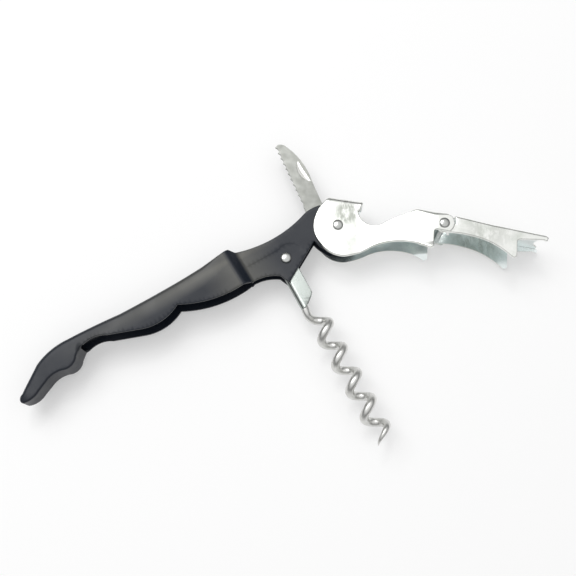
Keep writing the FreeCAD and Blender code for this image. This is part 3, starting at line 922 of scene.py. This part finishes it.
def build_rivet(name, pin, seat):
    """A domed rivet; seat is how far the plate under its head is from the mid-plane."""
    under = seat + SEAT_GAP
    low = -seat - SEAT_GAP - SHANK_OUT
    profile = [(SHANK - 0.2, low), (SHANK, low + 0.15), (SHANK, low + 0.5), (SHANK, 0.0), (SHANK, under),
               (RIVET_HEAD - 0.05, under), (RIVET_HEAD, under + 0.06), (RIVET_HEAD, under + HEAD_WALL)]
    for step in range(1, 10):
        angle = math.radians(10 * step)
        # the last ring is a tiny one, so that the top closes
        radius = RIVET_HEAD * math.cos(angle) if step < 9 else 0.02
        profile.append((radius, under + HEAD_WALL + DOME * math.sin(angle)))
    return lathe(name, pin, profile)


# ---------------------------------------------------------------- materials

def new_material(name):
    material = bpy.data.materials.new(name)
    material.use_nodes = True
    tree = material.node_tree
    return material, tree, tree.nodes["Principled BSDF"]


def add(tree, kind, **values):
    node = tree.nodes.new(kind)
    for key, value in values.items():
        setattr(node, key, value)
    return node


def noise(tree, scale, detail=3.0, stretch_by=(1, 1, 1), rough=0.5):
    place = add(tree, "ShaderNodeTexCoord")
    mapping = add(tree, "ShaderNodeMapping")
    mapping.inputs["Scale"].default_value = stretch_by
    tree.links.new(place.outputs["Object"], mapping.inputs["Vector"])
    texture = add(tree, "ShaderNodeTexNoise")
    texture.inputs["Scale"].default_value = scale
    texture.inputs["Detail"].default_value = detail
    texture.inputs["Roughness"].default_value = rough
    tree.links.new(mapping.outputs["Vector"], texture.inputs["Vector"])
    return texture.outputs["Fac"]


def ramp(tree, source, low, high, first, last, interpolation="LINEAR"):
    """Map a stretch of a value to another range."""
    node = add(tree, "ShaderNodeMapRange", interpolation_type=interpolation)
    node.inputs["From Min"].default_value = low
    node.inputs["From Max"].default_value = high
    node.inputs["To Min"].default_value = first
    node.inputs["To Max"].default_value = last
    tree.links.new(source, node.inputs["Value"])
    return node.outputs["Result"]


def blend_colours(tree, factor, first, last):
    """A colour between two plain ones."""
    node = add(tree, "ShaderNodeMix", data_type="RGBA")
    node.inputs["A"].default_value = first + (1,)
    node.inputs["B"].default_value = last + (1,)
    tree.links.new(factor, node.inputs["Factor"])
    return node.outputs["Result"]


def tint(tree, factor, under, over):
    """A plain colour laid over a varied one."""
    node = add(tree, "ShaderNodeMix", data_type="RGBA")
    node.inputs["B"].default_value = over + (1,)
    tree.links.new(under, node.inputs["A"])
    tree.links.new(factor, node.inputs["Factor"])
    return node.outputs["Result"]


def bump(tree, shader, height, strength, distance):
    node = add(tree, "ShaderNodeBump")
    node.inputs["Strength"].default_value = strength
    node.inputs["Distance"].default_value = distance
    tree.links.new(height, node.inputs["Height"])
    tree.links.new(node.outputs["Normal"], shader.inputs["Normal"])


def calculate(tree, operation, first, second):
    """One sum on sockets or plain numbers."""
    node = add(tree, "ShaderNodeMath", operation=operation)
    for slot, value in zip(node.inputs, (first, second)):
        if isinstance(value, (int, float)):
            slot.default_value = value
        else:
            tree.links.new(value, slot)
    return node.outputs["Value"]


def away_from(tree, value, place):
    """How far a value is from a place, on either side."""
    return calculate(tree, "ABSOLUTE", calculate(tree, "SUBTRACT", value, place), 0)


def in_frame(tree, matrix):
    """The shaded place in a part's own frame, split into its three numbers."""
    place = add(tree, "ShaderNodeTexCoord")
    split = add(tree, "ShaderNodeSeparateXYZ")
    into = matrix.inverted()
    mapping = add(tree, "ShaderNodeMapping")
    mapping.inputs["Location"].default_value = into.translation
    mapping.inputs["Rotation"].default_value = into.to_euler()
    mapping.inputs["Scale"].default_value = into.to_scale()
    tree.links.new(place.outputs["Object"], mapping.inputs["Vector"])
    tree.links.new(mapping.outputs["Vector"], split.inputs["Vector"])
    return split.outputs


SHEEN_RIDGE = 6.9   # the middle of the painted highlight's stripe, up the grip's side
STEP_X = -32.8       # the shoulder's step, between grip and neck


def painted_sheen(tree):
    """Where a highlight is painted into the paint's colour, in place of the lamps' sheen.

    Most along the upper third of the grip, and on both sides of the shoulder's step.
    """
    place = in_frame(tree, local_frame(LEVER_PIN, HANDLE_ANGLE))
    across = ramp(tree, away_from(tree, place["Y"], SHEEN_RIDGE), 0.3, 3.4, 1, 0)
    toward_tail = ramp(tree, place["X"], -92, -40, 0, 1)
    toward_head = ramp(tree, place["X"], -30, -18, 1, 0)
    from_step = away_from(tree, place["X"], STEP_X)
    beside_step = ramp(tree, from_step, 1.2, 2.2, 0, 1)
    near_step = ramp(tree, from_step, 2.2, 12.0, 0.75, 0)
    along = calculate(tree, "MULTIPLY", toward_tail, toward_head)
    most = calculate(tree, "MAXIMUM", calculate(tree, "MULTIPLY", across, along), near_step)
    return calculate(tree, "MULTIPLY", most, beside_step)


BLACK = ((0.005, 0.0085, 0.016), (0.008, 0.0115, 0.019))
# the grey of the painted highlight on the grip
SHEEN_BLACK = (0.088, 0.087, 0.077)


def paint_material(name, has_painted_sheen):
    """Stoved black paint on pressed steel: a fine orange-peel skin, and on the outside a painted highlight
    that greys the grip's upper third and the shoulder.
    """
    material, tree, shader = new_material(name)
    tone = ramp(tree, noise(tree, 45, 3), 0.35, 0.65, 0, 1)
    colour = blend_colours(tree, tone, *BLACK)
    if has_painted_sheen:
        # painted highlight: a greyer stripe on the grip and a patch by the shoulder, standing in for the
        # lamps' sheen
        colour = tint(tree, painted_sheen(tree), colour, SHEEN_BLACK)
    tree.links.new(colour, shader.inputs["Base Color"])
    tree.links.new(ramp(tree, noise(tree, 160, 4), 0.3, 0.7, 0.34, 0.46), shader.inputs["Roughness"])
    shader.inputs["Specular IOR Level"].default_value = 0.4
    bump(tree, shader, noise(tree, 900, 3), 0.06, 0.0002)
    return material


def spot(tree, centre, core, reach):
    """1 within the core of a place on the part, and 0 beyond its reach, in millimetres."""
    place = add(tree, "ShaderNodeTexCoord")
    away = add(tree, "ShaderNodeVectorMath", operation="DISTANCE")
    away.inputs[1].default_value = centre * MM
    tree.links.new(place.outputs["Object"], away.inputs[0])
    return ramp(tree, away.outputs["Value"], core * MM, reach * MM, 1, 0)


LIP_SCUFF = Vector((2.8, 4.0, 0.0))     # from the lever's rivet
FOOT_SCUFF = Vector((13.5, -1.0, 0.0))  # from the foot's rivet
SCUFF_GREY = (0.42, 0.44, 0.40)


def scuffed(tree):
    """Where caps and corks have scuffed the plating: by the lip, and lightly on the foot."""
    by_lip = spot(tree, LEVER_PIN + LIP_SCUFF, 4.4, 5.6)
    on_foot = calculate(tree, "MULTIPLY", spot(tree, FOOT_PIN + FOOT_SCUFF, 7.0, 11.0), 0.4)
    scuffs = ramp(tree, noise(tree, 420, 4, (1.8, 0.7, 1), 0.65), 0.38, 0.56, 0, 1)
    return calculate(tree, "MULTIPLY", calculate(tree, "MAXIMUM", by_lip, on_foot), scuffs)


def plate_material(name, first, last, low, high):
    """Bright plating over brushed sheet, slightly cloudy, and scuffed; low and high are its roughness."""
    material, tree, shader = new_material(name)
    shader.inputs["Metallic"].default_value = 1.0
    cloudy = noise(tree, 120, 5, (1, 1.4, 1), 0.6)
    bright = blend_colours(tree, ramp(tree, cloudy, 0.45, 0.62, 0, 0.8), first, last)
    tree.links.new(tint(tree, scuffed(tree), bright, SCUFF_GREY), shader.inputs["Base Color"])
    streaks = noise(tree, 260, 4, (1.6, 0.5, 1))
    tree.links.new(ramp(tree, streaks, 0.3, 0.7, low, high), shader.inputs["Roughness"])
    bump(tree, shader, noise(tree, 420, 3), 0.03, 0.0002)
    return material


def steel_material(name, first, last, low, high, scale=400):
    """Plain steel with a fine grain, from one tone and roughness to another."""
    material, tree, shader = new_material(name)
    shader.inputs["Metallic"].default_value = 1.0
    fine = noise(tree, scale, 3)
    tone = ramp(tree, fine, 0.3, 0.7, 0, 1)
    tree.links.new(blend_colours(tree, tone, first, last), shader.inputs["Base Color"])
    tree.links.new(ramp(tree, fine, 0.3, 0.7, low, high), shader.inputs["Roughness"])
    bump(tree, shader, fine, 0.05, 0.0002)
    return material


def floor_material():
    material, tree, shader = new_material("pale_floor")
    tone = noise(tree, 8, 2)
    pale = blend_colours(tree, tone, (0.61, 0.61, 0.61), (0.62, 0.62, 0.62))
    tree.links.new(pale, shader.inputs["Base Color"])
    # a light table: its own glow keeps the shadows pale
    shader.inputs["Emission Color"].default_value = (1, 1, 1, 1)
    shader.inputs["Emission Strength"].default_value = 0.34
    shader.inputs["Roughness"].default_value = 0.85
    shader.inputs["Specular IOR Level"].default_value = 0.1
    return material


def cover(piece, material):
    """Give a piece one finish only."""
    piece.data.materials.clear()
    piece.data.materials.append(material)


# ---------------------------------------------------------------- the object

# the outer paint carries the painted highlight; the inner paint does not
PAINT = paint_material("black_paint", True)
PAINT_INSIDE = paint_material("black_paint_inside", False)
PLATE = plate_material("bright_plate", (0.87, 0.88, 0.85), (0.64, 0.67, 0.62), 0.18, 0.28)
# the plates' inner faces: a lighter, teal-tinted copy of the plating, painted light standing in for the
# light reflected between the plates
PLATE_INSIDE_PAINTED_LIGHT = plate_material("bright_plate_inside_painted_light", (0.83, 0.88, 0.875), (0.75, 0.80, 0.795), 0.18, 0.28)
RIVET = steel_material("rivet_steel", (0.58, 0.59, 0.575), (0.47, 0.48, 0.465), 0.16, 0.26)
BLADE = steel_material("blade_steel", (0.262, 0.267, 0.252), (0.226, 0.231, 0.216), 0.30, 0.42, 500)
# the nail nick's faces, painted far lighter than the blade: a painted highlight for the light its walls
# catch
NICK_PAINTED_HIGHLIGHT = steel_material("nick_steel_painted_highlight", (0.74, 0.74, 0.71), (0.52, 0.52, 0.50), 0.20, 0.30, 260)
CLIP = steel_material("clip_steel", (0.44, 0.475, 0.455), (0.38, 0.41, 0.39), 0.20, 0.30)
WORM = steel_material("worm_steel", (0.74, 0.74, 0.72), (0.64, 0.64, 0.62), 0.30, 0.42)


replaced = set()


def mount(piece, body, nodes, slot_name, *materials):
    """Finish a piece and let it ride a body, in place of that body's own nodes."""
    for material in materials:
        piece.data.materials.append(material)
    replaced.update(nodes)
    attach(piece, body)
    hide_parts(*nodes)


mount(build_handle(), "handle", ["handle_shell"], "black_paint", PAINT, PAINT_INSIDE)
mount(build_arm(), "lever", ["lever_arm"], "bright_plate", PLATE, PLATE_INSIDE_PAINTED_LIGHT)
mount(build_foot(), "foot", ["lever_foot"], "bright_plate", PLATE, PLATE_INSIDE_PAINTED_LIGHT)
mount(build_worm(), "worm", ["worm"], "worm_steel", WORM)
mount(build_clip(), "worm", ["worm_clip"], "clip_steel", CLIP, CLIP)
mount(build_knife(), "knife", ["knife_blade"], "blade_steel", BLADE, NICK_PAINTED_HIGHLIGHT)
mount(build_rivet("lever_rivet", LEVER_PIN, 3.6), "handle", ["lever_pin"], "rivet_steel", RIVET)
mount(build_rivet("worm_rivet", WORM_PIN, 2.5), "handle", ["worm_pin"], "rivet_steel", RIVET)
mount(build_rivet("foot_rivet", FOOT_PIN, 6.55), "lever", ["foot_pin"], "rivet_steel", RIVET)

for node_name, node in frame["nodes"].items():
    if node_name not in replaced:
        cover(node, RIVET)

# ---------------------------------------------------------------- floor, camera and light

FLOOR_REACH = 1.5
FLOOR_Z = -0.0001  # just below the object
CAMERA_FROM_PIN = Vector((-15.15, -81.80, 217.28))  # from the lever's rivet, in millimetres
CAMERA_TILT = math.radians(16.137)


def build_floor():
    corners = [(-1, -1), (1, -1), (1, 1), (-1, 1)]
    verts = [(FLOOR_REACH * x, FLOOR_REACH * y, FLOOR_Z) for x, y in corners]
    data = bpy.data.meshes.new("floor")
    data.from_pydata(verts, [], [(0, 1, 2, 3)])
    floor = new_object("floor", data)
    cover(floor, floor_material())


def build_camera():
    data = bpy.data.cameras.new("camera")
    data.sensor_width = 36.0
    data.lens = 46.875
    data.clip_start = 0.01
    camera = new_object("camera", data)
    camera.location = (LEVER_PIN + CAMERA_FROM_PIN) * MM
    camera.rotation_euler = (CAMERA_TILT, 0, 0)
    bpy.context.scene.camera = camera


def area_light(name, place, side, watts):
    """A white square lamp that faces the origin, under the object's middle."""
    data = bpy.data.lights.new(name, "AREA")
    data.shape = "SQUARE"
    data.size = side
    data.energy = watts
    lamp = new_object(name, data)
    lamp.location = place
    lamp.rotation_euler = (-Vector(place)).to_track_quat("-Z", "Y").to_euler()


def build_world(zenith, horizon, backdrop):
    """A bright ceiling over dark surroundings, so that polished edges are drawn by what they reflect.

    What the camera sees directly past the floor's edge is pale, like the floor.
    """
    world = bpy.data.worlds.new("studio")
    bpy.context.scene.world = world
    world.use_nodes = True
    tree = world.node_tree
    background = tree.nodes["Background"]
    background.inputs["Color"].default_value = (1, 1, 1, 1)
    direction = add(tree, "ShaderNodeTexCoord")
    split = add(tree, "ShaderNodeSeparateXYZ")
    tree.links.new(direction.outputs["Generated"], split.inputs["Vector"])
    rise = ramp(tree, split.outputs["Z"], 0.30, 0.86, horizon, zenith, "SMOOTHSTEP")
    seen = add(tree, "ShaderNodeLightPath")
    strength = add(tree, "ShaderNodeMix", data_type="FLOAT")
    strength.inputs["B"].default_value = backdrop
    tree.links.new(rise, strength.inputs["A"])
    tree.links.new(seen.outputs["Is Camera Ray"], strength.inputs["Factor"])
    tree.links.new(strength.outputs["Result"], background.inputs["Strength"])


build_floor()
build_camera()
build_world(zenith=0.98, horizon=0.15, backdrop=0.9)
area_light("key", (-0.35, 0.30, 0.75), 0.55, 3.0)
area_light("fill", (-0.06, 0.27, 0.86), 0.34, 0.12)
area_light("ridge", (-0.10, 0.47, 0.76), 0.12, 0.5)
bpy.context.scene.view_settings.view_transform = "Standard"
